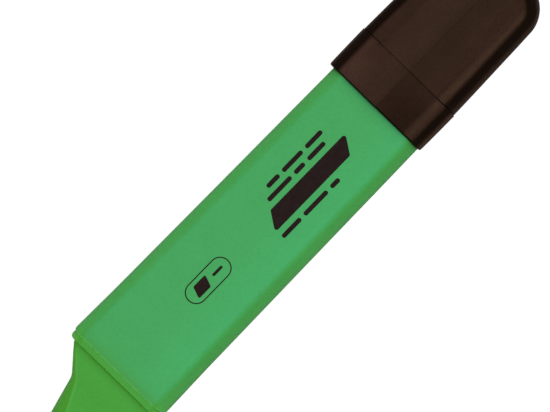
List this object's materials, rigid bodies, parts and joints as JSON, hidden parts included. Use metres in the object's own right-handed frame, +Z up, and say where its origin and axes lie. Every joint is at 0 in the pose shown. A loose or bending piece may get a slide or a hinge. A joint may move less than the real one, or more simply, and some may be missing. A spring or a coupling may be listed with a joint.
{
  "type": "highlighter",
  "caption": "Flat-bodied highlighter marker with a chisel tip, a drafted plastic barrel and a rounded pull-off cap posted on its rear end.",
  "frame": {"origin": "under the middle of the pen's length, on the surface that it lies on", "axes": "+X along the pen from the nib to the closed end of the cap, +Y across the wide face, +Z up through the thickness"},
  "size_m": [0.1384, 0.0252, 0.0157],
  "materials": {
    "barrel": "satin moulded, spring green",
    "nib_holder": "satin moulded, yellower green",
    "nib": "bonded fibre soaked in ink",
    "fibre": "soft fibre pad soaked in ink",
    "film": "thin clear film",
    "cap": "satin moulded, brown-black, fine grain",
    "liner": "soft translucent liner"
  },
  "bodies": {
    "pen": {"barrel": "barrel", "nib_holder": "nib_holder", "chisel_nib": "nib", "ink_reservoir": "fibre", "reservoir_wrap": "film"},
    "cap": {"cap": "cap", "inner_cap": "liner"}
  },
  "joints": [
    {"name": "cap_slide", "type": "slide", "parent": "pen", "child": "cap", "axis": [1, 0, 0], "range_m": [0, 0.02]}
  ]
}
